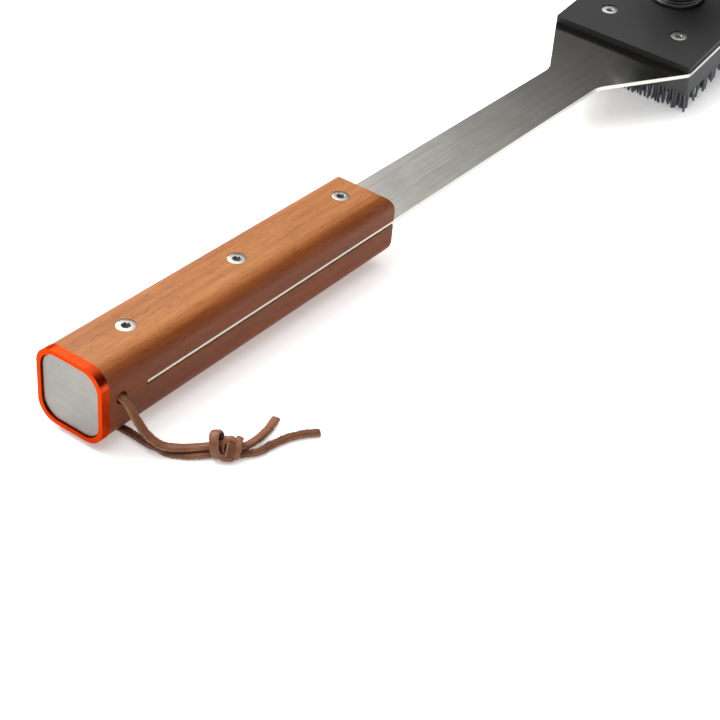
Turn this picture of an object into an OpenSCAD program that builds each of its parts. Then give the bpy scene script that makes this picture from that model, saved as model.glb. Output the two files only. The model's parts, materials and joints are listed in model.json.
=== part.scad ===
// Grill cleaning brush: a wooden handle on a long steel blade, whose bent head
// carries a cover plate, a palm knob and a replaceable block of bristles.
// X runs from the handle's end cap to the head, Z is up, and Z = 0 is the table.
// The brush lies on its bristles and on the thong under the handle's end, so it
// is pitched up by a fraction of a degree.

/* [Handle] */
// Width of the wooden handle
handle_w = 30; // [29:0.5:36]
// Height of the wooden handle
handle_h = 32; // [30:0.5:38]
// Corner radius of the handle's section
handle_corner = 8; // [5:0.5:11]
// Length of the handle with its end cap
handle_length = 173.5; // [169:0.5:200]
// Radius that rounds the handle's front end over at the top
nose_r = 10.5; // [6:0.5:10.5]
// Gap between the handle's end and the table, where the thong passes
handle_lift = 2.6; // [2.6:0.1:5]
// Thickness of the end cap
cap_t = 3.8; // [3.8:0.1:5]
// Distance of the first handle screw from the end cap's face
first_screw_x = 28; // [26:0.5:32]
// Distance of the middle handle screw from the end cap's face
middle_screw_x = 88; // [70:0.5:110]
// Distance of the last handle screw from the end cap's face
last_screw_x = 154; // [130:0.5:154.5]
// Diameter of the cross hole for the thong
thong_hole_d = 5; // [4.5:0.1:6]

/* [Blade] */
// Thickness of the steel blade
blade_t = 2; // [1.5:0.1:2.5]
// Height of the blade's top face above the handle's bottom
blade_rise = 18; // [15:0.5:19]
// Width of the blade's tang and strip
strip_w = 29; // [24:0.5:29]
// Distance of the neck, where the blade starts to flare, from the end cap's face
neck_x = 357; // [280:1:400]
// Length of the flare along X
flare_length = 55; // [45:1:70]
// Width of the head plate
head_w = 85; // [75:1:100]
// Length of the head plate
head_length = 128; // [125:1:140]
// Upward bend of the head plate
head_tilt = 9; // [5:0.5:12]

/* [Head] */
// Thickness of the cover plate
cover_t = 4; // [4:0.1:6]
// Thickness of the brush block
block_t = 13; // [12:0.5:16]
// Depth of the bristle tips below the head plate's top face
tip_depth = 26; // [24:0.5:32]
// Number of bristle rows
row_count = 11; // [6:1:11]
// Thickness of one bristle row
row_t = 5; // [4:0.2:6]
// Distance of the head screws from the cover's ends
screw_inset_x = 25; // [22:0.5:27]
// Distance of the head screws from the centre line
screw_offset_y = 22; // [18:0.5:26]

/* [Knob] */
// Radius of the swivel washer under the palm knob
washer_r = 17; // [14:0.5:18]
// Radius of the palm knob's cap
knob_r = 22; // [18:0.5:26]
// Height of the palm knob above its washer
knob_h = 34; // [32:1:40]

/* [Hidden] */
$fn = 64;
fit = 0.05;

// Slot, tang and the radius under the handle's front end
slot_end_x = 22.4;
tang_end_x = 23.4;
chin_r = 4;

// Handle screws (M4) and their barrel nuts
m4_d = 4;
m4_head_d = 7.6;
m4_length = 16;
m4_hex = 3;
nut_d = 6;
nut_head_d = 8.6;
nut_hex = 3;
nut_top = blade_rise + 5;
screw_recess = 0.1;
screw_xs = [first_screw_x, middle_screw_x, last_screw_x];

// End cap, badge and cap screws
cap_proud = 0.2;
cap_w = handle_w + 2 * cap_proud;
cap_h = handle_h + 2 * cap_proud;
cap_corner = handle_corner + cap_proud;
badge_rim = 1.8;
badge_corner = 7.5;
badge_gap = 0.3;
badge_recess = 2;
badge_t = 1.2;
cap_screw_d = 3;
cap_screw_head_d = 6.4;
cap_screw_length = 16;
cap_screw_hex = 2;
cap_screw_rise = 9;

// Thong hole
thong_hole_x = 10;
thong_hole_z = blade_rise - 0.2;

// Head
corner_u = 2;
bend_x = neck_x + flare_length - corner_u;
neck_fillet = 20;
cover_u0 = 0.6;
cover_length = head_length - cover_u0 - 0.6;
cover_w = head_w - 1;
cover_corner = 1;
block_u0 = 2.5;
block_length = head_length - block_u0;
block_w = head_w - 1;
block_corner = 1;
head_mid_u = cover_u0 + cover_length / 2;
head_screw_us = [cover_u0 + screw_inset_x, cover_u0 + cover_length - screw_inset_x];
plate_corner = 3;

// Head screws (M5) and their inserts
m5_d = 5;
m5_head_d = 9.2;
m5_length = 12;
m5_recess = 0.5;
m5_hex = 3;
insert_d = 7.4;
insert_length = 7;

// Bristles
row_depth = 2.5;
row_length = block_w - 2;
first_row_u = block_u0 + 0.5 + row_t / 2;
last_row_u = head_length - 1 - row_t / 2;
row_pitch = (last_row_u - first_row_u) / (row_count - 1);

// The pitch at which the rear row's tips touch the table, and the middle of the
// object's length
rear_tip = head_point(first_row_u - row_t / 2, -tip_depth);
front_tip = head_point(last_row_u + row_t / 2, -tip_depth);
rest_pitch = asin(-handle_lift / norm(rear_tip)) - atan2(rear_tip.y, rear_tip.x);
front_x = front_tip.x * cos(rest_pitch) - front_tip.y * sin(rest_pitch);
mid_x = (front_x - (handle_h + cap_proud) * sin(rest_pitch)) / 2;

// Palm knob, washer and stud
stud_r = 4;
stud_head_af = 13;
stud_head_t = 5;
stud_top = 24;
washer_t = 2.5;
washer_edge_r = 1;
washer_bore_r = 4.3;
knob_base = cover_t + washer_t;
insert_r = 6;
insert_start = 0.4;
insert_h = 20;
foot_r = 13;
foot_t = 1.5;
neck_r = 9.5;
neck_from = 5;
neck_to = 9;
crown_r = 8;

// Thong: half width, half thickness and the routes of its stretches, from the
// cross hole to the knot and from the knot to the two loose ends. X is from the
// handle's end, Z from the table.
thong_a = 1.5;
thong_b = 1.3;
near_route = [
  [9.8, 0, 20.5], [9.8, -8, 20.5], [9.8, -15, 20.3], [10.2, -18.2, 17.5], [10.6, -21.6, 12.8],
  [11.3, -25, 8.6], [12.6, -28.3, 6], [14.6, -31.2, 4.4], [17.4, -34.6, 4.1], [19.9, -36.8, 3.8],
  [22.7, -38.9, 3.6], [25.4, -41.6, 3.9], [27.4, -43.4, 4.5]
];
far_route = [
  [9.8, 0, 20.5], [9.8, 8, 20.5], [9.8, 15.6, 20.2], [10.2, 20, 17.8], [10.8, 22.4, 12.8],
  [11.6, 22.2, 7.2], [12.4, 19, 3.2], [13.2, 14.6, 1.4], [13.8, 8, 1.35], [14.2, -2, 1.35],
  [14.5, -10, 1.35], [14.6, -15, 1.35], [14.3, -20, 1.35], [14.2, -25.5, 1.35],
  [15.1, -30.7, 1.35], [17.2, -35.1, 1.35], [20, -38.8, 1.35], [23.4, -41.9, 1.4],
  [26.6, -44.2, 1.6]
];
tail_a_route = [
  [31, -48.6, 3.9], [34.2, -50.1, 3.1], [39.4, -50.5, 2.4], [47.2, -49.6, 1.7], [55.7, -47.4, 1.4]
];
tail_b_route = [
  [30.4, -50.4, 1.6], [33, -52, 1.5], [37, -54.6, 1.35], [43, -55.6, 1.35], [50, -57.4, 1.35],
  [55.8, -60.4, 1.35], [60.5, -64.2, 1.35]
];
knot_at = [28.6, -47, 0.05];
knot_r = 5.6;
knot_h = 9.6;
knot_edge_r = 2.6;

// A point of the head's middle plane in the handle's frame, as [x, z]: u is
// measured along the plate from the bend, w up from its top face
function head_point(u, w) = [
  bend_x + u * cos(head_tilt) - w * sin(head_tilt),
  blade_rise + u * sin(head_tilt) + w * cos(head_tilt)
];
function unit(v) = v / norm(v);
function tangent(p, i) = unit(p[min(i + 1, len(p) - 1)] - p[max(i - 1, 0)]);
function across(t, ref) = unit(ref - (ref * t) * t);
function ring(p, i, ref, sides) =
  let (t = tangent(p, i), s = across(t, ref), n = cross(t, s))
  [for (k = [0:sides - 1])
    p[i] + thong_a * cos(360 * k / sides) * s + thong_b * sin(360 * k / sides) * n];

// Puts a Y-Z outline along X
module along_x(start, length) {
  translate([start, 0, 0]) rotate([90, 0, 90]) linear_extrude(length) children();
}

// Puts the handle's frame, whose origin is under the end cap's face, at rest on
// the table
module placed() {
  translate([-mid_x, 0, handle_lift]) rotate([0, -rest_pitch, 0]) children();
}

// The head's own frame: its X axis runs up along the bent plate
module head_frame() {
  placed() translate([bend_x, 0, blade_rise]) rotate([0, -head_tilt, 0]) children();
}

module round_rect(w, h, r) {
  square([w - 2 * r, h], center = true);
  square([w, h - 2 * r], center = true);
  for (x = [-1, 1], y = [-1, 1])
    translate([x * (w / 2 - r), y * (h / 2 - r)]) circle(r);
}

// A countersunk socket screw whose head lies at z = 0
module socket_screw(head_d, shank_d, length, hex, hex_depth) {
  cone = (head_d - shank_d) / 2;
  difference() {
    union() {
      translate([0, 0, -cone]) cylinder(h = cone, d1 = shank_d, d2 = head_d);
      translate([0, 0, -length]) cylinder(h = length - cone, d = shank_d);
    }
    translate([0, 0, -hex_depth]) cylinder(h = hex_depth + 1, d = hex / cos(30), $fn = 6);
  }
}

// The space for a countersunk head at z = 0, open upwards by recess
module head_seat(head_d, shank_d, recess) {
  cone = (head_d - shank_d) / 2;
  translate([0, 0, -cone]) cylinder(h = cone, d1 = shank_d, d2 = head_d);
  cylinder(h = recess + 1, d = head_d);
}

module at_handle_screws() {
  for (x = screw_xs) translate([x, 0, 0]) children();
}

module at_cap_screws() {
  for (s = [-1, 1]) translate([badge_recess, 0, handle_h / 2 + s * cap_screw_rise])
    rotate([0, -90, 0]) children();
}

module at_head_screws() {
  for (u = head_screw_us, s = [-1, 1]) translate([u, s * screw_offset_y, 0]) children();
}

// The handle seen from the side: square at the cap, rounded at the front end
module grip_side() {
  square([handle_length - nose_r, handle_h]);
  square([handle_length - chin_r, handle_h / 2]);
  translate([0, chin_r]) square([handle_length, handle_h - chin_r - nose_r]);
  translate([handle_length - nose_r, handle_h - nose_r]) circle(nose_r);
  translate([handle_length - chin_r, chin_r]) circle(chin_r);
}

module handle_grip() {
  color("saddlebrown") placed() difference() {
    intersection() {
      along_x(cap_t, handle_length - cap_t)
        translate([0, handle_h / 2]) round_rect(handle_w, handle_h, handle_corner);
      translate([0, handle_w, 0]) rotate([90, 0, 0]) linear_extrude(2 * handle_w) grip_side();
    }
    translate([slot_end_x, -handle_w, blade_rise - blade_t])
      cube([handle_length, 2 * handle_w, blade_t + fit]);
    at_handle_screws() {
      translate([0, 0, handle_h - screw_recess]) head_seat(m4_head_d, m4_d + 0.4, screw_recess);
      translate([0, 0, nut_top]) cylinder(h = handle_h, d = m4_d + 0.4);
      cylinder(h = nut_top + fit, d = nut_d + 2 * fit);
      translate([0, 0, screw_recess]) mirror([0, 0, 1])
        head_seat(nut_head_d, nut_d, screw_recess);
    }
    translate([thong_hole_x, 0, thong_hole_z])
      rotate([90, 0, 0]) cylinder(h = 2 * handle_w, d = thong_hole_d, center = true);
    at_cap_screws() translate([0, 0, -cap_screw_length - 1])
      cylinder(h = cap_screw_length, d = cap_screw_d);
  }
}

module end_cap() {
  color("orangered") placed() difference() {
    along_x(0, cap_t) translate([0, handle_h / 2]) round_rect(cap_w, cap_h, cap_corner);
    along_x(-1, 1 + badge_recess) translate([0, handle_h / 2])
      round_rect(cap_w - 2 * badge_rim, cap_h - 2 * badge_rim, badge_corner);
    at_cap_screws() {
      head_seat(cap_screw_head_d, cap_screw_d, 0);
      translate([0, 0, -cap_t]) cylinder(h = cap_t, d = cap_screw_d);
    }
  }
}

module cap_badge() {
  rim = badge_rim + badge_gap;
  color("silver") placed() along_x(badge_recess - badge_t, badge_t) translate([0, handle_h / 2])
    round_rect(cap_w - 2 * rim, cap_h - 2 * rim, badge_corner - badge_gap);
}

module cap_screws() {
  color("dimgray") placed() at_cap_screws()
    socket_screw(cap_screw_head_d, cap_screw_d, cap_screw_length, cap_screw_hex, 1.2);
}

module handle_screws() {
  color("gainsboro") placed() at_handle_screws() translate([0, 0, handle_h - screw_recess])
    socket_screw(m4_head_d, m4_d, m4_length, m4_hex, 2);
}

module barrel_nuts() {
  bore = screw_recess + 4;
  color("gainsboro") placed() at_handle_screws() difference() {
    translate([0, 0, screw_recess]) mirror([0, 0, 1])
      socket_screw(nut_head_d, nut_d, nut_top - screw_recess, nut_hex, 2);
    translate([0, 0, bore]) cylinder(h = nut_top, d = m4_d);
  }
}

// The blade seen from the side: flat, then bent up at the head
module blade_side() {
  polygon([
    [tang_end_x, blade_rise - blade_t],
    [bend_x + blade_t * tan(head_tilt / 2), blade_rise - blade_t],
    head_point(head_length, -blade_t),
    head_point(head_length, 0),
    [bend_x, blade_rise],
    [tang_end_x, blade_rise]
  ]);
}

// The blade seen from above: strip, flare and head plate
module blade_plan() {
  half = strip_w / 2;
  corner_x = neck_x + flare_length;
  plate_end = head_point(head_length, -blade_t).x;
  turn = atan((head_w / 2 - half) / flare_length);
  run = neck_fillet * tan(turn / 2);
  centre = [neck_x - run, half + neck_fillet];
  flare = [neck_x + run * cos(turn), half + run * sin(turn)];
  difference() {
    polygon([
      [tang_end_x, -half], [centre.x, -half], [centre.x, -centre.y], [flare.x, -flare.y],
      [corner_x, -head_w / 2], [corner_x + 4 * plate_corner, -head_w / 2],
      [corner_x + 4 * plate_corner, head_w / 2], [corner_x, head_w / 2],
      [flare.x, flare.y], centre, [centre.x, half], [tang_end_x, half]
    ]);
    for (s = [-1, 1]) translate([centre.x, s * centre.y]) circle(neck_fillet + 0.02);
  }
  translate([(corner_x + plate_corner + plate_end) / 2, 0])
    round_rect(plate_end - corner_x - plate_corner, head_w, plate_corner);
}

module blade() {
  color("silver") difference() {
    placed() intersection() {
      translate([0, head_w, 0]) rotate([90, 0, 0]) linear_extrude(2 * head_w) blade_side();
      linear_extrude(3 * handle_h) blade_plan();
    }
    placed() at_handle_screws() cylinder(h = 2 * handle_h, d = nut_d + 0.4);
    head_frame() {
      at_head_screws() cylinder(h = 4 * blade_t, d = m5_d + 0.4, center = true);
      translate([head_mid_u, 0, 0]) cylinder(h = 4 * blade_t, r = stud_r + 0.2, center = true);
    }
  }
}

module cover_plate() {
  color("dimgray") head_frame() difference() {
    translate([head_mid_u, 0, 0]) linear_extrude(cover_t)
      round_rect(cover_length, cover_w, cover_corner);
    at_head_screws() {
      translate([0, 0, cover_t - m5_recess]) head_seat(m5_head_d, m5_d + 0.4, m5_recess);
      cylinder(h = 4 * cover_t, d = m5_d + 0.4, center = true);
    }
    translate([head_mid_u, 0, 0]) cylinder(h = 4 * cover_t, r = stud_r + 0.2, center = true);
  }
}

module head_screws() {
  color("gainsboro") head_frame() at_head_screws() translate([0, 0, cover_t - m5_recess])
    socket_screw(m5_head_d, m5_d, m5_length, m5_hex, 2.2);
}

module screw_inserts() {
  color("goldenrod") head_frame() at_head_screws() difference() {
    translate([0, 0, -blade_t - insert_length]) cylinder(h = insert_length, d = insert_d);
    cylinder(h = 4 * insert_length, d = m5_d, center = true);
  }
}

module brush_block() {
  color("darkslategray") head_frame() difference() {
    translate([block_u0 + block_length / 2, 0, -blade_t - block_t])
      linear_extrude(block_t) round_rect(block_length, block_w, block_corner);
    for (i = [1:row_count]) translate([row_u(i), 0, -blade_t - block_t])
      cube([row_t, row_length, 2 * row_depth], center = true);
    at_head_screws() translate([0, 0, -blade_t - insert_length])
      cylinder(h = 2 * insert_length, d = insert_d);
    translate([head_mid_u, 0, -blade_t - stud_head_t])
      cylinder(h = 2 * stud_head_t, d = stud_head_af / cos(30), $fn = 6);
  }
}

function row_u(i) = first_row_u + row_pitch * (i - 1);

module bristle_row(i) {
  top = blade_t + block_t - row_depth;
  color("slategray") head_frame() if (i <= row_count)
    translate([row_u(i) - row_t / 2, -row_length / 2, -tip_depth])
      cube([row_t, row_length, tip_depth - top]);
}

module palm_stud() {
  color("gainsboro") head_frame() translate([head_mid_u, 0, 0]) {
    translate([0, 0, -blade_t - stud_head_t])
      cylinder(h = stud_head_t, d = stud_head_af / cos(30), $fn = 6);
    translate([0, 0, -blade_t]) cylinder(h = blade_t + stud_top, r = stud_r);
  }
}

module swivel_washer() {
  color("gray") head_frame() translate([head_mid_u, 0, cover_t]) rotate_extrude() {
    translate([washer_bore_r, 0]) square([washer_r - washer_edge_r - washer_bore_r, washer_t]);
    translate([washer_bore_r, 0]) square([washer_r - washer_bore_r, washer_t - washer_edge_r]);
    translate([washer_r - washer_edge_r, washer_t - washer_edge_r]) circle(washer_edge_r);
  }
}

module palm_knob() {
  skirt = knob_h - 2 * crown_r;
  color("dimgray") head_frame() translate([head_mid_u, 0, knob_base]) difference() {
    rotate_extrude() {
      polygon([
        [0, 0], [foot_r, 0], [foot_r, foot_t], [neck_r, neck_from], [neck_r, neck_to],
        [neck_r + 2, skirt - 4], [knob_r - 2.5, skirt + 1], [knob_r - crown_r, skirt + crown_r],
        [knob_r - crown_r, knob_h], [0, knob_h]
      ]);
      translate([knob_r - crown_r, knob_h - crown_r]) circle(crown_r);
    }
    translate([0, 0, -1]) cylinder(h = 1 + insert_start + insert_h, r = insert_r);
  }
}

module knob_insert() {
  color("goldenrod") head_frame() translate([head_mid_u, 0, knob_base + insert_start])
    difference() {
      cylinder(h = insert_h, r = insert_r);
      translate([0, 0, -1]) cylinder(h = insert_h, r = stud_r + fit);
    }
}

module thong(route, ref) {
  sides = 8;
  count = len(route);
  translate([-mid_x, 0, 0]) polyhedron(
    points = [for (i = [0:count - 1]) each ring(route, i, ref, sides)],
    faces = concat(
      [[for (k = [0:sides - 1]) k]],
      [for (i = [0:count - 2], k = [0:sides - 1])
        let (n = (k + 1) % sides)
        [i * sides + k, (i + 1) * sides + k, (i + 1) * sides + n, i * sides + n]],
      [[for (k = [0:sides - 1]) count * sides - 1 - k]]
    )
  );
}

module lanyard_near() {
  color("sienna") thong(near_route, [1, 0, 0]);
}

module lanyard_far() {
  color("sienna") thong(far_route, [1, 0, 0]);
}

module lanyard_tail_a() {
  color("sienna") thong(tail_a_route, [0, 1, 0]);
}

module lanyard_tail_b() {
  color("sienna") thong(tail_b_route, [0, 1, 0]);
}

module lanyard_knot() {
  color("saddlebrown") translate(knot_at - [mid_x, 0, 0]) rotate_extrude() {
    square([knot_r - knot_edge_r, knot_h]);
    translate([0, knot_edge_r]) square([knot_r, knot_h - 2 * knot_edge_r]);
    for (z = [knot_edge_r, knot_h - knot_edge_r])
      translate([knot_r - knot_edge_r, z]) circle(knot_edge_r);
  }
}

handle_grip();
end_cap();
cap_badge();
cap_screws();
handle_screws();
barrel_nuts();
blade();
cover_plate();
head_screws();
screw_inserts();
brush_block();
bristle_row(1);  // bristle_row_1
bristle_row(2);  // bristle_row_2
bristle_row(3);  // bristle_row_3
bristle_row(4);  // bristle_row_4
bristle_row(5);  // bristle_row_5
bristle_row(6);  // bristle_row_6
bristle_row(7);  // bristle_row_7
bristle_row(8);  // bristle_row_8
bristle_row(9);  // bristle_row_9
bristle_row(10);  // bristle_row_10
bristle_row(11);  // bristle_row_11
palm_stud();
swivel_washer();
palm_knob();
knob_insert();
lanyard_near();
lanyard_far();
lanyard_knot();
lanyard_tail_a();
lanyard_tail_b();
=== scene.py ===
"""Looks of the grill cleaning brush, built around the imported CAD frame. Lengths are in metres."""

import json
import math
import random

import bmesh
import bpy
from mathutils import Matrix, Vector, noise


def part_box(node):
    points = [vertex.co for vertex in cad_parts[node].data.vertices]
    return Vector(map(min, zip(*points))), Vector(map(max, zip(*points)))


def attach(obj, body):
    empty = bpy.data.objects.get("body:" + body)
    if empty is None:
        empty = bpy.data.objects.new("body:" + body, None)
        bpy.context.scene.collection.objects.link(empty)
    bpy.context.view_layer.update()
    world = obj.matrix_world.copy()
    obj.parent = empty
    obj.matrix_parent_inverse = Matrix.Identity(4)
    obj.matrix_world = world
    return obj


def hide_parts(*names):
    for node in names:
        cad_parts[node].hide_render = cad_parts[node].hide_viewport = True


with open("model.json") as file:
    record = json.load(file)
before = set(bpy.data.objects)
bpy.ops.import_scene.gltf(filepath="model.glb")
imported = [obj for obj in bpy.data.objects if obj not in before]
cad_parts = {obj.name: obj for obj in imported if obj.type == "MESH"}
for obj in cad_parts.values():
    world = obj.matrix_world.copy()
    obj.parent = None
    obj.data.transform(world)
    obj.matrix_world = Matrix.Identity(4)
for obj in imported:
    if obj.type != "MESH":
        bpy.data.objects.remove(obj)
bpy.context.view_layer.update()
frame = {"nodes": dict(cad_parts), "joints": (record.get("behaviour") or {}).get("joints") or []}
nodes = frame["nodes"]
scene = bpy.context.scene

MM = 0.001
ROOT = "brush"
PITCH = math.radians(0.6334)  # the handle's slope as it rests
CAP_TOP = 32.2 * MM
HANDLE_LIFT = 2.6 * MM
REAR_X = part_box("end_cap")[0].x + CAP_TOP * math.sin(PITCH)  # the handle's lower rear edge


def at(x, y, z):
    """A point given in mm from the handle's rear edge, the middle plane and the table."""
    return Vector((REAR_X + x * MM, y * MM, z * MM))


# The handle's own axes, from under the end cap's face: X along it, Z up through it
FROM_HANDLE = Matrix.Rotation(-PITCH, 4, "Y")
FROM_HANDLE.translation = at(0, 0, 0) + Vector((0, 0, HANDLE_LIFT))

# The head's own axes, from the knob's pivot: X up along the head, Z along the stud
LIFT_JOINT, TURN_JOINT = frame["joints"][0], frame["joints"][1]
HEAD_UP = Vector(LIFT_JOINT["axis"])
FROM_HEAD = Matrix((Vector((0, 1, 0)).cross(HEAD_UP), Vector((0, 1, 0)), HEAD_UP))
FROM_HEAD = FROM_HEAD.transposed().to_4x4()
FROM_HEAD.translation = Vector(TURN_JOINT["pos_m"])
PIVOT_U = 64  # mm from the bend to the stud, along the head
PIVOT_W = 6.5  # mm from the head plate's top face up to the knob's foot


# ---------------------------------------------------------------- camera

def view_axes(azimuth, elevation, roll):
    """The camera's right, up and backward axes, from angles in degrees."""
    az, el, turn = (math.radians(a) for a in (azimuth, elevation, roll))
    ahead = Vector((math.cos(el) * math.cos(az), math.cos(el) * math.sin(az), -math.sin(el)))
    level = ahead.cross(Vector((0, 0, 1))).normalized()
    above = level.cross(ahead)
    right = math.cos(turn) * level + math.sin(turn) * above
    up = math.cos(turn) * above - math.sin(turn) * level
    return right, up, -ahead


def make_camera():
    data = bpy.data.cameras.new("camera")
    data.lens = 73.57
    data.shift_x = -0.2090
    data.shift_y = 0.0276
    data.clip_start = 0.01
    camera = bpy.data.objects.new("camera", data)
    right, up, back = view_axes(azimuth=25.014, elevation=36.265, roll=11.088)
    place = Matrix((right, up, back)).transposed().to_4x4()
    place.translation = at(-291.09, -300.25, 348.71)
    camera.matrix_world = place
    scene.collection.objects.link(camera)
    scene.camera = camera


make_camera()


# ---------------------------------------------------------------- node materials

class Shader:
    """A small helper for building a Principled material from nodes."""

    def __init__(self, name):
        self.mat = bpy.data.materials.new(name)
        self.mat.use_nodes = True
        self.tree = self.mat.node_tree
        self.bsdf = self.tree.nodes["Principled BSDF"]
        self.coords = self.tree.nodes.new("ShaderNodeTexCoord").outputs["Object"]

    def node(self, kind, **values):
        made = self.tree.nodes.new(kind)
        for key, value in values.items():
            if key in made.inputs:
                made.inputs[key].default_value = value
            else:
                setattr(made, key, value)
        return made

    def link(self, source, target):
        self.tree.links.new(source, target)

    def setting(self, **values):
        """Sets sockets of the Principled shader; an underscore in a name is a space."""
        for key, value in values.items():
            self.bsdf.inputs[key.replace("_", " ")].default_value = value

    def noise(self, scale, detail=3.0, rough=0.6, distortion=0.0):
        """Noise whose lumps are 1/scale metres; scale is one number or one for each axis."""
        stretch = (scale,) * 3 if isinstance(scale, (int, float)) else scale
        mapping = self.node("ShaderNodeMapping")
        mapping.inputs["Scale"].default_value = stretch
        self.link(self.coords, mapping.inputs["Vector"])
        texture = self.node("ShaderNodeTexNoise", Scale=1.0, Detail=detail, Roughness=rough,
                            Distortion=distortion)
        self.link(mapping.outputs["Vector"], texture.inputs["Vector"])
        return texture.outputs["Fac"]

    def ramp(self, fac, *stops):
        """A colour ramp; each stop is (position, colour)."""
        made = self.node("ShaderNodeValToRGB")
        while len(made.color_ramp.elements) < len(stops):
            made.color_ramp.elements.new(0.5)
        for element, (position, colour) in zip(made.color_ramp.elements, stops):
            element.position = position
            element.color = (*colour, 1)
        self.link(fac, made.inputs["Fac"])
        return made.outputs["Color"]

    def remap(self, value, low, high, to_low, to_high):
        made = self.node("ShaderNodeMapRange")
        for key, number in (("From Min", low), ("From Max", high),
                            ("To Min", to_low), ("To Max", to_high)):
            made.inputs[key].default_value = number
        self.link(value, made.inputs["Value"])
        return made.outputs["Result"]

    def math(self, operation, a, b):
        made = self.node("ShaderNodeMath", operation=operation)
        for socket, value in zip(made.inputs, (a, b)):
            if isinstance(value, (int, float)):
                socket.default_value = value
            else:
                self.link(value, socket)
        return made.outputs["Value"]

    def mix(self, fac, a, b, blend="MIX"):
        made = self.node("ShaderNodeMix", data_type="RGBA", blend_type=blend)
        for socket, value in ((made.inputs[0], fac), (made.inputs[6], a), (made.inputs[7], b)):
            if isinstance(value, (int, float)):
                socket.default_value = value
            elif isinstance(value, tuple):
                socket.default_value = (*value, 1)
            else:
                self.link(value, socket)
        return made.outputs[2]

    def colour(self, source):
        self.link(source, self.bsdf.inputs["Base Color"])

    def roughness(self, source):
        self.link(source, self.bsdf.inputs["Roughness"])

    def bump(self, height, depth, strength):
        """Adds relief; depth is the height in metres between 0 and 1."""
        made = self.node("ShaderNodeBump", Strength=strength, Distance=depth)
        self.link(height, made.inputs["Height"])
        before = self.bsdf.inputs["Normal"]
        if before.is_linked:
            self.link(before.links[0].from_socket, made.inputs["Normal"])
        self.link(made.outputs["Normal"], before)


def wood():
    s = Shader("handle_wood")
    broad = s.noise((9, 70, 70), detail=4, distortion=0.6)
    figure = s.noise((26, 420, 420), detail=5, rough=0.65, distortion=0.4)
    fibre = s.noise((170, 2600, 2600), detail=3, rough=0.7)
    pores = s.noise((330, 2100, 2100), detail=2, rough=0.5)
    base = s.ramp(broad, (0.3, (0.295, 0.112, 0.036)), (0.72, (0.385, 0.164, 0.056)))
    grain = s.ramp(figure, (0.32, (0.80, 0.75, 0.70)), (0.66, (1.08, 1.08, 1.08)))
    tone = s.mix(1.0, base, grain, "MULTIPLY")
    thread = s.ramp(fibre, (0.3, (0.82, 0.78, 0.72)), (0.7, (1.10, 1.10, 1.12)))
    tone = s.mix(0.8, tone, thread, "MULTIPLY")
    speck = s.remap(pores, 0.60, 0.70, 0.0, 1.0)
    tone = s.mix(s.math("MULTIPLY", speck, 0.55), tone, (0.12, 0.036, 0.012))
    # Painted shade: the rounded edges, where the face turns between Y and Z, are darkened and
    # warmed, as the shaded band along them.
    normal = s.node("ShaderNodeSeparateXYZ")
    s.link(s.node("ShaderNodeNewGeometry").outputs["Normal"], normal.inputs[0])
    turned = s.math("ABSOLUTE", s.math("MULTIPLY", normal.outputs["Y"], normal.outputs["Z"]), 0)
    tone = s.mix(s.remap(turned, 0.05, 0.5, 0.0, 0.6), tone, (0.80, 0.46, 0.20), "MULTIPLY")
    # Painted shade: the sides, the faces turned towards Y, are made darker than the top and bottom,
    # as less lit faces.
    side = s.math("ABSOLUTE", normal.outputs["Y"], 0)
    tone = s.mix(s.remap(side, 0.5, 1.0, 0.0, 1.0), tone, (0.58, 0.35, 0.205), "MULTIPLY")
    s.colour(tone)
    s.roughness(s.remap(figure, 0.3, 0.7, 0.44, 0.56))
    s.bump(fibre, 0.00006, 0.5)
    s.bump(speck, -0.00008, 0.6)
    s.setting(Specular_IOR_Level=0.16)
    return s.mat


def brushed(name, colour, rough, aniso, lines, along=(14, 3200, 3200)):
    """Brushed steel: lines is the scratches' contrast and along is their stretch on each axis."""
    s = Shader(name)
    fine = s.noise(along, detail=2, rough=0.7)
    coarse = s.noise(tuple(a / 7 for a in along), detail=3, rough=0.6)
    cloud = s.noise(38, detail=3)
    dark = tuple(c * (1 - lines) for c in colour)
    light = tuple(min(1, c * (1 + lines * 0.6)) for c in colour)
    tone = s.ramp(fine, (0.3, dark), (0.7, light))
    tone = s.mix(0.5, tone, s.ramp(coarse, (0.35, (0.90,) * 3), (0.65, (1.05,) * 3)), "MULTIPLY")
    s.colour(tone)
    s.roughness(s.math("ADD", s.remap(fine, 0.3, 0.7, rough - 0.05, rough + 0.06),
                       s.remap(cloud, 0.3, 0.7, -0.02, 0.03)))
    s.bump(fine, 0.00001, 0.1)
    s.setting(Metallic=1.0, Anisotropic=aniso)
    tangent = s.node("ShaderNodeTangent", direction_type="RADIAL", axis="X")
    s.link(tangent.outputs[0], s.bsdf.inputs["Tangent"])
    return s.mat


def metal(name, colour, rough, grain=900, spread=0.10, depth=0.00002, **more):
    """Turned, blasted or anodised metal with an even fine grain."""
    s = Shader(name)
    fine = s.noise(grain, detail=3)
    cloud = s.noise(60, detail=3)
    dark = tuple(c * (1 - spread) for c in colour)
    light = tuple(min(1, c * (1 + spread)) for c in colour)
    s.colour(s.mix(0.5, s.ramp(fine, (0.3, dark), (0.7, light)),
                   s.ramp(cloud, (0.3, dark), (0.7, light))))
    s.roughness(s.remap(fine, 0.3, 0.7, rough - 0.04, rough + 0.06))
    s.bump(fine, depth, 0.4)
    s.setting(Metallic=1.0, **more)
    return s.mat


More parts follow.
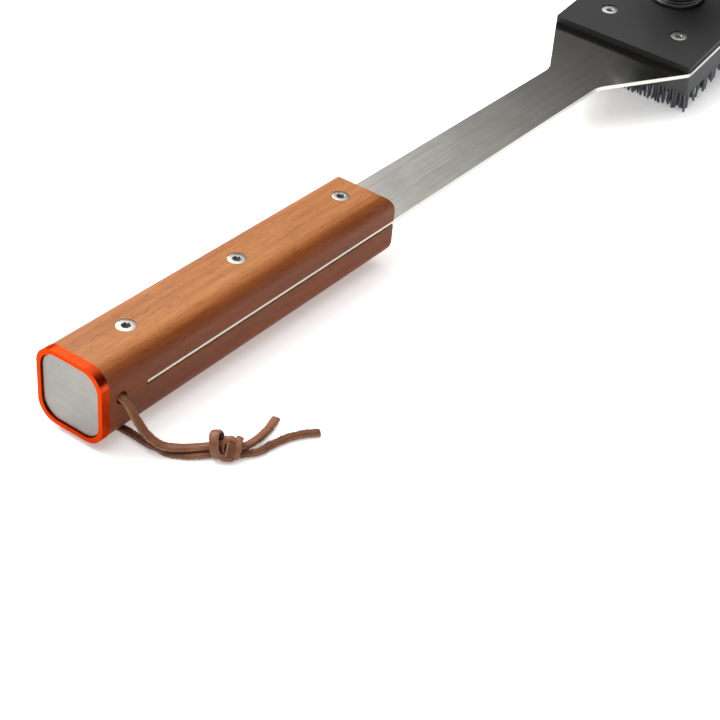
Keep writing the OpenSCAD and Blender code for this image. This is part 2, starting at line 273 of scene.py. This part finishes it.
def textured(name, colour, rough, grain, depth, spread=0.25, **more):
    """Powder coat or moulded plastic: a fine pimpled surface with slight unevenness."""
    s = Shader(name)
    pimples = s.noise(grain, detail=2, rough=0.5)
    patch = s.noise(45, detail=4)
    dark = tuple(c * (1 - spread) for c in colour)
    light = tuple(c * (1 + spread) for c in colour)
    tone = s.ramp(pimples, (0.35, dark), (0.65, light))
    s.colour(s.mix(0.6, tone, s.ramp(patch, (0.3, dark), (0.7, light))))
    s.roughness(s.math("ADD", s.remap(pimples, 0.3, 0.7, rough - 0.05, rough + 0.07),
                       s.remap(patch, 0.3, 0.7, -0.03, 0.04)))
    s.bump(pimples, depth, 0.8)
    s.setting(**more)
    return s.mat


def leather(name, dark, light, rough, grain, depth, nap=0.0):
    """The thong's grain side, or its rough flesh side when nap is above 0."""
    s = Shader(name)
    creases = s.noise(grain, detail=4, rough=0.7, distortion=0.8)
    patch = s.noise(160, detail=3)
    tone = s.ramp(creases, (0.28, dark), (0.72, light))
    s.colour(s.mix(0.45, tone, s.ramp(patch, (0.3, dark), (0.75, light))))
    s.roughness(s.remap(creases, 0.3, 0.7, rough - 0.06, rough + 0.08))
    s.bump(creases, depth, 0.9)
    s.setting(Sheen_Weight=nap, Sheen_Roughness=0.5, Specular_IOR_Level=0.35)
    return s.mat


M = {
    "wood": wood(),
    "blade": brushed("blade_steel", (0.55, 0.54, 0.50), 0.19, aniso=0.85, lines=0.03),
    "badge": brushed("badge_steel", (0.25, 0.24, 0.225), 0.40, along=(2600, 900, 2600), aniso=0.3,
                     lines=0.07),
    "screw": metal("screw_steel", (0.40, 0.388, 0.365), 0.34),
    "washer": metal("washer_black", (0.10, 0.10, 0.10), 0.32),
    "black_screw": metal("dark_steel", (0.06, 0.06, 0.06), 0.42),
    "brass": metal("insert_brass", (0.78, 0.57, 0.25), 0.28),
    "orange": metal("orange_anodised", (0.47, 0.044, 0.012), 0.30, grain=2400, spread=0.06,
                    depth=0.00001, Specular_Tint=(1, 0.4, 0.2, 1)),
    "cover": textured("cover_black", (0.013, 0.013, 0.0135), 0.48, 2300, 0.00005,
                      Specular_IOR_Level=0.2),
    "block": textured("block_black", (0.052, 0.052, 0.054), 0.62, 1500, 0.00005),
    "knob": textured("knob_black", (0.022, 0.022, 0.023), 0.30, 700, 0.00001, spread=0.12,
                     Coat_Weight=0.3, Coat_Roughness=0.2),
    "bristle": textured("bristle_nylon", (0.070, 0.078, 0.095), 0.38, 1200, 0.00003, spread=0.35),
    "grain_side": leather("thong_leather", (0.105, 0.035, 0.014), (0.300, 0.112, 0.050), 0.44,
                          1700, 0.00009),
    "cut_edge": leather("thong_edge", (0.120, 0.045, 0.022), (0.46, 0.23, 0.13), 0.8, 2400,
                        0.00012),
    "flesh_side": leather("thong_suede", (0.040, 0.012, 0.005), (0.230, 0.078, 0.032), 0.85,
                          2300, 0.00026, nap=0.12),
}


# ---------------------------------------------------------------- pieces

def keep(obj, body, slot, *replaced):
    """Puts a finished piece on its body, in place of the CAD nodes named. The slot is not used."""
    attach(obj, body)
    if replaced:
        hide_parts(*replaced)
    return obj


def new_object(name, bm, *materials, smooth=True):
    bmesh.ops.recalc_face_normals(bm, faces=bm.faces)
    mesh = bpy.data.meshes.new(name)
    bm.to_mesh(mesh)
    bm.free()
    for material in materials:
        mesh.materials.append(material)
    for polygon in mesh.polygons:
        polygon.use_smooth = smooth
    obj = bpy.data.objects.new(name, mesh)
    scene.collection.objects.link(obj)
    return obj


def eased_copy(name, node, material, width, segments=2, front=0, bent=False):
    """A copy of a CAD node whose sharp edges are rounded by width, and the edges of its front
    face by front where that is given. The folds of bent sheet metal stay crisp."""
    bm = bmesh.new()
    bm.from_mesh(nodes[node].data)
    bmesh.ops.remove_doubles(bm, verts=bm.verts, dist=2e-6)
    bmesh.ops.dissolve_limit(bm, angle_limit=0.004, verts=bm.verts, edges=bm.edges)
    if front:
        ahead = FROM_HANDLE.to_3x3() @ Vector((1, 0, 0))
        plane = max(v.co.dot(ahead) for v in bm.verts)
        chosen = [e for e in bm.edges
                  if all(plane - v.co.dot(ahead) < 1e-5 for v in e.verts)
                  and e.calc_face_angle(0) > 0.7]
        bmesh.ops.bevel(bm, geom=chosen, offset=front, segments=3, profile=0.5,
                        affect="EDGES", clamp_overlap=True)
    if bent:
        folds = []
        for edge in bm.edges:
            run = edge.verts[0].co - edge.verts[1].co
            if run.length > 40 * MM and abs(run.y) > 0.99 * run.length:
                if 0.08 < edge.calc_face_angle(0) < 0.5:
                    edge.smooth = False
                    folds.append(edge.verts[0].co.x)
        # Cuts beside the fold keep its shading from spreading over the flat faces.
        for x in (min(folds) - MM, max(folds) + MM):
            bmesh.ops.bisect_plane(bm, geom=[*bm.verts, *bm.edges, *bm.faces],
                                   plane_co=(x, 0, 0), plane_no=(1, 0, 0))
    obj = new_object(name, bm, material)
    bevel = obj.modifiers.new("ease", "BEVEL")
    bevel.width = width
    bevel.segments = segments
    bevel.limit_method = "ANGLE"
    bevel.angle_limit = math.radians(35)
    weighted = obj.modifiers.new("normals", "WEIGHTED_NORMAL")
    weighted.keep_sharp = True
    return obj


def crisp(obj, degrees):
    """Shades an object smooth except across edges sharper than the angle."""
    obj.data.set_sharp_from_angle(angle=math.radians(degrees))
    return obj


def loft(bm, rings):
    """Joins rings of points into one closed solid, capped at both ends."""
    made = [[bm.verts.new(p) for p in ring] for ring in rings]
    size = len(made[0])
    for ring, following in zip(made, made[1:]):
        for k in range(size):
            n = (k + 1) % size
            bm.faces.new((ring[k], ring[n], following[n], following[k]))
    bm.faces.new(made[0][::-1])
    bm.faces.new(made[-1])


def hexagon(angle, af):
    """Radius of a hexagon, af across its flats, in a direction from its middle."""
    turned = angle % (math.pi / 3) - math.pi / 6
    return af / 2 / math.cos(turned)


def shift(x, y, z):
    """A move given in mm."""
    return Matrix.Translation(Vector((x, y, z)) * MM)


def head_at(u, y, w):
    """Axes at a point of the head, in mm from the bend and the head plate's top face."""
    return FROM_HEAD @ shift(u - PIVOT_U, y, w - PIVOT_W)


UPSIDE_DOWN = Matrix.Rotation(math.pi, 4, "X")
SCREW_XS = (28, 88, 154)  # mm from the end cap's face
BOLT_TOP, NUT_FACE = 31.9, 0.1  # mm up from the handle's underside
HEAD_SCREW_US, HEAD_SCREW_YS = (25.6, 102.4), (-22, 22)  # mm from the bend and the middle
HEAD_SCREW_W = 3.5  # mm up from the head plate


def fasteners(name, places, material, head_d, shank_d, length, hex_af, hex_depth, bore=None):
    """Countersunk socket screws, or barrel nuts with a bore = (diameter, closed length). Each
    place is a set of axes on the head's face, Z outwards; sizes are in mm."""
    sides = 48
    cone = (head_d - shank_d) / 2
    rim, shank = head_d / 2, shank_d / 2
    bm = bmesh.new()
    for place in places:
        rings = []

        def ring(z, radius):
            points = []
            for k in range(sides):
                a = 2 * math.pi * k / sides
                r = radius(a) if callable(radius) else radius
                points.append(place @ (Vector((r * math.cos(a), r * math.sin(a), z)) * MM))
            rings.append(points)

        if bore:
            wall, closed = bore
            ring(-closed, wall / 2)
            ring(-length, wall / 2)
            ring(-length, shank)
            ring(-cone, shank)
        else:
            ring(-length, shank - 0.4)
            ring(-length + 0.4, shank)
            ring(-cone, shank)
        # The head's rounded rim, its flat face and the chamfered mouth of the socket
        ring(-0.22, rim - 0.22)
        ring(-0.06, rim - 0.12)
        ring(0, rim - 0.26)
        ring(-0.04, lambda a: 0.5 * (hexagon(a, hex_af) + hex_af / 2) + 0.25)
        ring(-0.22, lambda a: hexagon(a, hex_af) + 0.03)
        ring(-0.4, lambda a: hexagon(a, hex_af))
        ring(-hex_depth, lambda a: hexagon(a, hex_af))
        loft(bm, rings)
    return crisp(new_object(name, bm, material), 28)


# ---------------------------------------------------------------- thong

THONG_W = 3.2 * MM
THONG_T = 2.1 * MM

# The thong's routes, in mm, as in the CAD model: from the cross hole to the knot,
# through the knot, and out along a loose end.
NEAR_ROUTE = [
    (9.8, 0, 20.5), (9.8, -8, 20.5), (9.8, -15, 20.3), (10.2, -18.2, 17.5), (10.6, -21.6, 12.8),
    (11.3, -25, 8.6), (12.6, -28.3, 6), (14.6, -31.2, 4.4), (17.4, -34.6, 4.1), (19.9, -36.8, 3.8),
    (22.7, -38.9, 3.6), (25.4, -41.6, 3.9), (27.4, -43.4, 4.5), (29.2, -46, 4.5),
    (31, -48.6, 3.9), (34.2, -50.1, 3.1), (39.4, -50.5, 2.4), (47.2, -49.6, 1.7),
    (55.7, -47.4, 1.4),
]
FAR_ROUTE = [
    (9.8, 0, 20.5), (9.8, 8, 20.5), (9.8, 15.6, 20.2), (10.2, 20, 17.8), (10.8, 22.4, 12.8),
    (11.6, 22.2, 7.2), (12.4, 19, 3.2), (13.2, 14.6, 1.4), (13.8, 8, 1.35), (14.2, -2, 1.35),
    (14.5, -10, 1.35), (14.6, -15, 1.35), (14.3, -20, 1.35), (14.2, -25.5, 1.35),
    (15.1, -30.7, 1.35), (17.2, -35.1, 1.35), (20, -38.8, 1.35), (23.4, -41.9, 1.4),
    (26.6, -44.2, 1.6), (28.6, -47.2, 1.7), (30.4, -50.4, 1.6), (33, -52, 1.5),
    (37, -54.6, 1.35), (43, -55.6, 1.35), (50, -57.4, 1.35), (55.8, -60.4, 1.35),
    (60.5, -64.2, 1.35),
]
KNOT_AT = at(28.9, -46.9, 4.9)
KNOT_AHEAD = Vector((0.65, -0.76, 0)).normalized()


def curve_through(points, step):
    """Points about step apart on a smooth curve through the given ones."""
    ends = [2 * points[0] - points[1], *points, 2 * points[-1] - points[-2]]
    line = []
    for a, b, c, d in zip(ends, ends[1:], ends[2:], ends[3:]):
        count = max(2, round((c - b).length / step))
        for i in range(count):
            t = i / count
            line.append(0.5 * (2 * b + (c - a) * t + (2 * a - 5 * b + 4 * c - d) * t * t
                               + (3 * b - a - 3 * c + d) * t ** 3))
    return line + [points[-1]]


def strap_section(wide, thick, per_side=4):
    """The outline of a strap's section, as (across, through) pairs with rounded corners."""
    r = 0.42 * thick
    pairs = []
    for k, (sx, sy) in enumerate(((1, 1), (-1, 1), (-1, -1), (1, -1))):
        cx, cy = sx * (wide / 2 - r), sy * (thick / 2 - r)
        for i in range(per_side):
            a = math.radians(90 * (k + i / (per_side - 1)))
            pairs.append((cx + r * math.cos(a), cy + r * math.sin(a)))
        if k in (0, 2):
            pairs.append((0, sy * thick / 2))
    return pairs


def strap(bm, line, across, wide, thick, rough_up, seed, closed=False):
    """Sweeps a leather strap along a line. across gives its width's direction at each point,
    and rough_up says whether its upper (+normal) face is the flesh side."""
    section = strap_section(wide, thick)
    rings = []
    count = len(line)
    for i, point in enumerate(line):
        if closed:
            ahead = line[(i + 1) % count] - line[i - 1]
        else:
            ahead = line[min(i + 1, count - 1)] - line[max(i - 1, 0)]
        ahead.normalize()
        side = (across[i] - across[i].dot(ahead) * ahead).normalized()
        top = ahead.cross(side)
        swell = 1 + 0.07 * noise.noise(Vector((seed, i * 0.045, 3.1)))
        ring = []
        for across_by, up_by in section:
            flesh = (up_by > 0) == rough_up or abs(across_by) > 0.46 * wide
            place = point + side * (across_by * swell) + top * up_by
            wobble = noise.noise_vector(place * (1300 if flesh else 420)) * MM
            place += wobble * (0.26 if flesh else 0.06)
            place.z = max(place.z, 0.05 * MM)
            ring.append(bm.verts.new(place))
        rings.append(ring)
    sides = len(section)
    spans = zip(rings, rings[1:] + rings[:1]) if closed else zip(rings, rings[1:])
    for ring, following in spans:
        for k in range(sides):
            n = (k + 1) % sides
            face = bm.faces.new((ring[k], ring[n], following[n], following[k]))
            middle = section[k][1] + section[n][1]
            grain = middle < 0 if rough_up else middle > 0
            flat = abs(section[k][0] + section[n][0]) < 0.86 * wide
            face.material_index = 2 if not flat else 0 if grain else 1
    if not closed:
        for ring in (rings[0], rings[-1]):
            bm.faces.new(ring).material_index = 1


def fibres(bm, line, across, wide, thick, up_sign, count, start, end, longest, seed):
    """Short fibres that stand out of a strap's flesh side and edges between two shares of its
    line. Each is a closed thin spike."""
    rnd = random.Random(seed)
    for _ in range(count):
        i = int(rnd.uniform(start, end) * (len(line) - 1))
        i = min(max(i, 1), len(line) - 2)
        ahead = (line[i + 1] - line[i - 1]).normalized()
        side = (across[i] - across[i].dot(ahead) * ahead).normalized()
        top = ahead.cross(side)
        edge = rnd.random() < 0.6
        s = rnd.choice((-1, 1)) * wide / 2 if edge else rnd.uniform(-0.45, 0.45) * wide
        u = rnd.uniform(-0.3, 0.5) * thick * up_sign if edge else up_sign * thick / 2
        root = line[i] + side * s * 0.96 + top * u * 0.96
        out = side * (math.copysign(1, s) if edge else rnd.uniform(-0.6, 0.6))
        out = (out + top * up_sign * rnd.uniform(0.1, 0.9) + ahead * rnd.uniform(-1, 1)).normalized()
        tip = root + out * rnd.uniform(0.3, 1.0) * longest
        tip.z = max(tip.z, 0.05 * MM)
        a = out.orthogonal().normalized()
        b = out.cross(a)
        r = rnd.uniform(0.05, 0.09) * MM
        base = [bm.verts.new(root + r * (a * math.cos(t) + b * math.sin(t))) for t in (0, 2.1, 4.2)]
        peak = bm.verts.new(tip)
        bm.faces.new(base[::-1]).material_index = 1
        for k in range(3):
            bm.faces.new((base[k], base[(k + 1) % 3], peak)).material_index = 1


def widths(line, turns):
    """The direction of a strap's width along a line: level and across the line, turned about it
    by the angles in turns, given as (share of the length, degrees)."""
    found = []
    for i in range(len(line)):
        ahead = (line[min(i + 1, len(line) - 1)] - line[max(i - 1, 0)]).normalized()
        level = Vector((0, 0, 1)).cross(ahead)
        level = level.normalized() if level.length > 0.2 else Vector((1, 0, 0))
        share = i / (len(line) - 1)
        angle = turns[-1][1]
        for (s0, a0), (s1, a1) in zip(turns, turns[1:]):
            if s0 <= share <= s1:
                t = (share - s0) / (s1 - s0)
                angle = a0 + (a1 - a0) * t * t * (3 - 2 * t)
                break
        found.append(Matrix.Rotation(math.radians(angle), 3, ahead) @ level)
    return found


def lace(name, route, turns, rough_up, fringe, seed):
    """One half of the thong, as a mesh tube; returns it and its centre line."""
    line = curve_through([at(*p) for p in route], 0.45 * MM)
    across = widths(line, turns)
    bm = bmesh.new()
    strap(bm, line, across, THONG_W, THONG_T, rough_up, seed)
    for up, count, start, end, longest in fringe:
        fibres(bm, line, across, THONG_W, THONG_T, up, count, start, end, longest * MM, seed)
    return new_object(name, bm, M["grain_side"], M["flesh_side"], M["cut_edge"]), line


lace_near, near_line = lace(
    "thong_near_half", NEAR_ROUTE, [(0, 0), (0.22, 0), (0.40, 24), (0.55, 0), (1, 0)], False,
    [(-1, 420, 0.25, 0.62, 0.8), (-1, 220, 0.78, 1.0, 0.8)], 1)
lace_far, far_line = lace(
    "thong_far_half", FAR_ROUTE, [(0, 180), (0.44, 180), (0.55, 160), (0.62, 20), (0.68, 0),
                                  (0.78, 170), (1, 180)], False,
    [(-1, 700, 0.4, 0.62, 0.9), (-1, 1100, 0.74, 1.0, 1.1)], 2)


def knot():
    """An overhand knot: straps that wrap the two halves, seen as a broad wrap at one end, a
    bight folded over the middle and narrower turns at the other end."""
    up = Vector((0, 0, 1))
    side = up.cross(KNOT_AHEAD).normalized()
    bm = bmesh.new()

    def turn_of(middle, first, second, flat_way, wide, seed, rough_out=False):
        """A closed strap through middle +- first and middle +- second, its width along
        flat_way; distances are in mm along the knot, across it and up."""
        def local(v):
            return (KNOT_AHEAD * v[0] + side * v[1] + up * v[2]) * MM
        centre, a_way, b_way, flat = (local(v) for v in (middle, first, second, flat_way))
        line = []
        for i in range(64):
            a = 2 * math.pi * i / 64
            line.append(KNOT_AT + centre + a_way * math.cos(a) + b_way * math.sin(a))
        strap(bm, line, [flat.normalized()] * 64, wide * MM, 1.5 * MM, rough_out, seed,
              closed=True)

    turn_of((-3.6, 0.0, 0.5), (0.9, 3.7, 0.3), (-1.1, 0.3, 4.6), (1, -0.2, 0.2), 3.4, 11)
    turn_of((0.4, -0.6, -0.3), (-0.5, 3.4, 0), (0.9, 0.2, 3.1), (1, 0.2, -0.2), 3.6, 12, True)
    turn_of((0.9, -1.4, 0.2), (2.5, -0.3, -0.7), (0.5, 0.7, 3.7), (0.1, -1, 0.1), 2.2, 13)
    turn_of((3.5, -0.3, -0.7), (0.5, 3.5, 0), (0.7, 0.2, 3.3), (1, -0.3, -0.3), 2.6, 14)
    turn_of((0.2, -0.5, -1.7), (3.8, 0.6, -0.7), (0.4, 3.6, 1.0), (-0.3, 0.2, 1), 2.2, 15)
    return new_object("thong_knot", bm, M["grain_side"], M["flesh_side"], M["cut_edge"])


thong_knot = knot()
keep(lace_near, ROOT, "thong_leather", "lanyard_near", "lanyard_tail_a")
keep(lace_far, ROOT, "thong_suede", "lanyard_far", "lanyard_tail_b")
keep(thong_knot, ROOT, "thong_leather", "lanyard_knot")


# ---------------------------------------------------------------- handle

keep(eased_copy("handle", "handle_grip", M["wood"], 0.25 * MM, front=0.9 * MM), ROOT,
     "handle_wood", "handle_grip")
keep(eased_copy("cap", "end_cap", M["orange"], 0.3 * MM, 3), ROOT, "orange_anodised", "end_cap")
keep(eased_copy("badge", "cap_badge", M["badge"], 0.15 * MM), ROOT, "badge_steel", "cap_badge")
keep(fasteners("handle_bolts", [FROM_HANDLE @ shift(x, 0, BOLT_TOP) for x in SCREW_XS],
               M["screw"], head_d=7.6, shank_d=4, length=16, hex_af=3, hex_depth=2),
     ROOT, "screw_steel", "handle_screws")
keep(fasteners("handle_nuts",
               [FROM_HANDLE @ shift(x, 0, NUT_FACE) @ UPSIDE_DOWN for x in SCREW_XS],
               M["screw"], head_d=8.6, shank_d=6, length=22.9, hex_af=3, hex_depth=2,
               bore=(4, 4)), ROOT, "screw_steel", "barrel_nuts")
keep(eased_copy("blade_body", "blade", M["blade"], 0.18 * MM, bent=True), ROOT, "blade_steel",
     "blade")

# ---------------------------------------------------------------- head

keep(eased_copy("cover", "cover_plate", M["cover"], 0.35 * MM, 3), ROOT, "cover_black",
     "cover_plate")
keep(fasteners("head_bolts",
               [head_at(u, y, HEAD_SCREW_W) for u in HEAD_SCREW_US for y in HEAD_SCREW_YS],
               M["screw"], head_d=9.2, shank_d=5, length=12, hex_af=3, hex_depth=2.2),
     ROOT, "screw_steel", "head_screws")
keep(eased_copy("block", "brush_block", M["block"], 0.4 * MM), ROOT, "block_black",
     "brush_block")

TO_HEAD = FROM_HEAD.inverted()


def head_box(node):
    """Lowest and highest corners of a CAD node in the head's own axes, from the knob's pivot."""
    points = [TO_HEAD @ v.co for v in nodes[node].data.vertices]
    return (Vector(min(p[k] for p in points) for k in range(3)),
            Vector(max(p[k] for p in points) for k in range(3)))


def filament(bm, root, tip, bow, radius, sides=6):
    """One thick bristle with a slight bow and a rounded tip, in the head's axes."""
    made = []
    for t, r in ((0, 1), (0.3, 1), (0.6, 1), (0.86, 1), (0.96, 0.95), (0.99, 0.7), (1, 0.3)):
        middle = root.lerp(tip, t) + bow * math.sin(math.pi * t)
        made.append([FROM_HEAD @ (middle + Vector((
            r * radius * math.cos(2 * math.pi * k / sides),
            r * radius * math.sin(2 * math.pi * k / sides), 0))) for k in range(sides)])
    loft(bm, made)


def bristle_row(index, count, seed):
    """A strip of bristles: staggered lines of filaments in a thin root strip. The outer ones
    and those of the first and last rows lean outwards, as on a used brush."""
    node = f"bristle_row_{index}"
    low, high = head_box(node)
    rnd = random.Random(seed)
    bm = bmesh.new()
    middle = (low.x + high.x) / 2
    half = (high.y - low.y) / 2
    pitch, line_gap = 2.1 * MM, 1.75 * MM
    margin, root_depth, strip_depth = 1.0 * MM, 1.0 * MM, 2.3 * MM
    end_lean = {1: -1.0, count: 0.3}.get(index, 0)
    for k, offset in enumerate((-line_gap, 0.0, line_gap)):
        y = -half + margin + pitch * (k % 2) / 2
        while y < half - 0.8 * MM:
            root = Vector((middle + offset + rnd.uniform(-0.25, 0.25) * MM,
                           y + rnd.uniform(-0.35, 0.35) * MM, high.z - root_depth))
            outward = math.copysign(max(0, abs(y) / half - 0.9) * 16, y)
            lean = Vector((end_lean * rnd.uniform(0, 1) + rnd.gauss(0, 0.55),
                           outward * rnd.uniform(0.3, 1) + rnd.gauss(0, 0.6), 0)) * MM
            tip = root + lean
            tip.z = low.z + abs(rnd.gauss(0, 1.0)) * MM
            bow = Vector((rnd.gauss(0, 0.25), rnd.gauss(0, 0.35), 0)) * MM
            filament(bm, root, tip, bow, rnd.uniform(0.66, 0.88) * MM)
            y += pitch
    strip = bmesh.ops.create_cube(bm, size=1.0)["verts"]
    size = Vector((high.x - low.x, high.y - low.y, strip_depth))
    centre = Vector((middle, (low.y + high.y) / 2, high.z - size.z / 2))
    for v in strip:
        v.co = FROM_HEAD @ (centre + Vector(c * s for c, s in zip(v.co, size)))
    obj = new_object(f"bristles_{index}", bm, M["bristle"])
    crisp(obj, 50)
    return keep(obj, ROOT, "bristle_nylon", node)


ROWS = sum(1 for name in nodes if name.startswith("bristle_row_"))
for number in range(1, ROWS + 1):
    bristle_row(number, ROWS, 100 + number)


def lathe(name, profile, material, steps=96):
    """Turns a closed (radius, height) outline, in mm, about the knob's axis."""
    bm = bmesh.new()
    rings = []
    for i in range(steps):
        a = 2 * math.pi * i / steps
        rings.append([bm.verts.new(FROM_HEAD @ (Vector((r * math.cos(a), r * math.sin(a), z)) * MM))
                      for r, z in profile])
    size = len(profile)
    for ring, following in zip(rings, rings[1:] + rings[:1]):
        for k in range(size):
            n = (k + 1) % size
            bm.faces.new((ring[k], ring[n], following[n], following[k]))
    bmesh.ops.remove_doubles(bm, verts=bm.verts, dist=1e-6)
    return crisp(new_object(name, bm, material), 40)


def smooth_profile(points, steps):
    """(radius, height) pairs on a smooth curve through the given ones."""
    line = curve_through([Vector((r, z, 0)) for r, z in points], steps)
    return [(max(0, v.x), v.y) for v in line]


KNOB_SIDE = smooth_profile([
    (12.7, 0.05), (13, 0.7), (12.4, 1.7), (10.6, 3.6), (9.6, 6.2), (9.9, 9.6), (11.6, 13.4),
    (15.2, 16.6), (19, 19.3), (21.3, 22.6), (21.95, 26.2), (21, 29.9), (18.2, 32.6),
    (14, 33.7), (8, 33.95), (0, 34)], 0.6)
keep(lathe("knob", [(6, 0), *KNOB_SIDE, (0, 20.4), (6, 20.4)], M["knob"]), "knob", "knob_black",
     "palm_knob")
keep(lathe("washer", [
    (4.3, -2.45), (16.7, -2.5), (17, -2.2), (17, -1), (16.85, -0.5), (16.5, -0.15), (16, 0),
    (15.5, 0), (15.2, -0.35), (14.9, -0.5), (14.2, -0.5), (13.9, -0.35), (13.6, -0.04),
    (4.6, -0.04), (4.3, -0.3)], M["washer"]), "washer", "washer_black", "swivel_washer")


def stud(name, material):
    """The palm stud: a hexagon head in the block, a plain shank and an M8 thread above it."""
    sides = 36
    radius, thread_pitch, thread_depth = 4.0, 1.25, 0.62
    head_af, head_low, shank_low, thread_low, top = 13, -7, -2, 4.1, 24
    rings = []

    def ring(w, outline):
        angles = [2 * math.pi * k / sides for k in range(sides)]
        rings.append([head_at(PIVOT_U, 0, w) @ (
            Vector((outline(a) * math.cos(a), outline(a) * math.sin(a), 0)) * MM)
            for a in angles])

    ring(head_low, lambda a: hexagon(a, head_af - 0.4))
    ring(head_low + 0.25, lambda a: hexagon(a, head_af))
    ring(shank_low - 0.05, lambda a: hexagon(a, head_af))
    ring(shank_low, lambda a: radius)
    ring(thread_low, lambda a: radius)
    steps = round((top - 0.8 - thread_low) / (thread_pitch / 6))
    for i in range(1, steps + 1):
        w = thread_low + i * thread_pitch / 6
        grow = min(1, i / 6)

        def outline(a, w=w, grow=grow):
            phase = (w / thread_pitch - a / (2 * math.pi)) % 1
            return radius - grow * thread_depth * abs(2 * phase - 1)
        ring(w, outline)
    ring(top - 0.5, lambda a: radius - thread_depth)
    ring(top, lambda a: radius - thread_depth - 0.5)
    bm = bmesh.new()
    loft(bm, rings)
    return crisp(new_object(name, bm, material), 35)


keep(stud("stud", M["screw"]), ROOT, "screw_steel", "palm_stud")

for node, material in (("knob_insert", "brass"), ("screw_inserts", "brass"),
                       ("cap_screws", "black_screw")):
    mesh = nodes[node].data
    mesh.materials.clear()
    mesh.materials.append(M[material])


# ---------------------------------------------------------------- floor and light

def make_floor():
    bm = bmesh.new()
    reach = 12.0
    for x, y in ((-1, -1), (1, -1), (1, 1), (-1, 1)):
        bm.verts.new((x * reach, y * reach, 0))
    bm.faces.new(bm.verts)
    s = Shader("floor_white")
    s.colour(s.ramp(s.noise(3, detail=2), (0.3, (0.90, 0.90, 0.90)), (0.7, (0.93, 0.93, 0.93))))
    s.setting(Roughness=0.9, Specular_IOR_Level=0.1, Emission_Color=(1, 1, 1, 1),
              Emission_Strength=0.36)
    floor = new_object("floor", bm, s.mat, smooth=False)


def softbox(name, place, aim, size, power):
    data = bpy.data.lights.new(name, "AREA")
    data.shape = "RECTANGLE"
    data.size, data.size_y = size
    data.energy = power
    light = bpy.data.objects.new(name, data)
    light.location = place
    light.rotation_euler = (Vector(aim) - Vector(place)).to_track_quat("-Z", "Y").to_euler()
    scene.collection.objects.link(light)


def studio_sky():
    """A dome that is bright overhead and on the far side, and dim near the table."""
    world = bpy.data.worlds.new("studio")
    scene.world = world
    world.use_nodes = True
    tree = world.node_tree

    def mapped(value, low, high, to_low, to_high, curve="LINEAR"):
        made = tree.nodes.new("ShaderNodeMapRange")
        made.interpolation_type = curve
        for key, number in (("From Min", low), ("From Max", high),
                            ("To Min", to_low), ("To Max", to_high)):
            made.inputs[key].default_value = number
        tree.links.new(value, made.inputs["Value"])
        return made.outputs["Result"]

    def combined(operation, a, b):
        made = tree.nodes.new("ShaderNodeMath")
        made.operation = operation
        tree.links.new(a, made.inputs[0])
        if isinstance(b, float):
            made.inputs[1].default_value = b
        else:
            tree.links.new(b, made.inputs[1])
        return made.outputs["Value"]

    coords = tree.nodes.new("ShaderNodeTexCoord")
    split = tree.nodes.new("ShaderNodeSeparateXYZ")
    tree.links.new(coords.outputs["Generated"], split.inputs[0])
    y, z = split.outputs["Y"], split.outputs["Z"]
    height = tree.nodes.new("ShaderNodeValToRGB")
    stops = ((0.0, 0.0), (0.36, 0.0), (0.41, 0.036), (0.43, 0.115), (0.455, 0.22),
             (0.485, 0.42), (0.52, 0.56))
    while len(height.color_ramp.elements) < len(stops):
        height.color_ramp.elements.new(0.5)
    for element, (position, level) in zip(height.color_ramp.elements, stops):
        element.position = position
        element.color = (level, level, level, 1)
    tree.links.new(z, height.inputs["Fac"])
    far_side = combined("MULTIPLY", combined("MULTIPLY", height.outputs["Color"], 2.6),
                        mapped(y, 0.26, 0.46, 0.08, 1.0))
    overhead = combined("MULTIPLY", mapped(z, 0.70, 0.95, 0.0, 4.3, "SMOOTHSTEP"),
                        mapped(y, -0.1, 0.35, 0.5, 1.0))
    background = tree.nodes["Background"]
    background.inputs["Color"].default_value = (1, 0.995, 0.985, 1)
    tree.links.new(combined("ADD", far_side, overhead), background.inputs["Strength"])


make_floor()
studio_sky()
softbox("key", place=(0.1, 1.4, 1.3), aim=(0.0, 0.0, 0.0), size=(1.3, 0.9), power=36)
scene.view_settings.view_transform = "Standard"
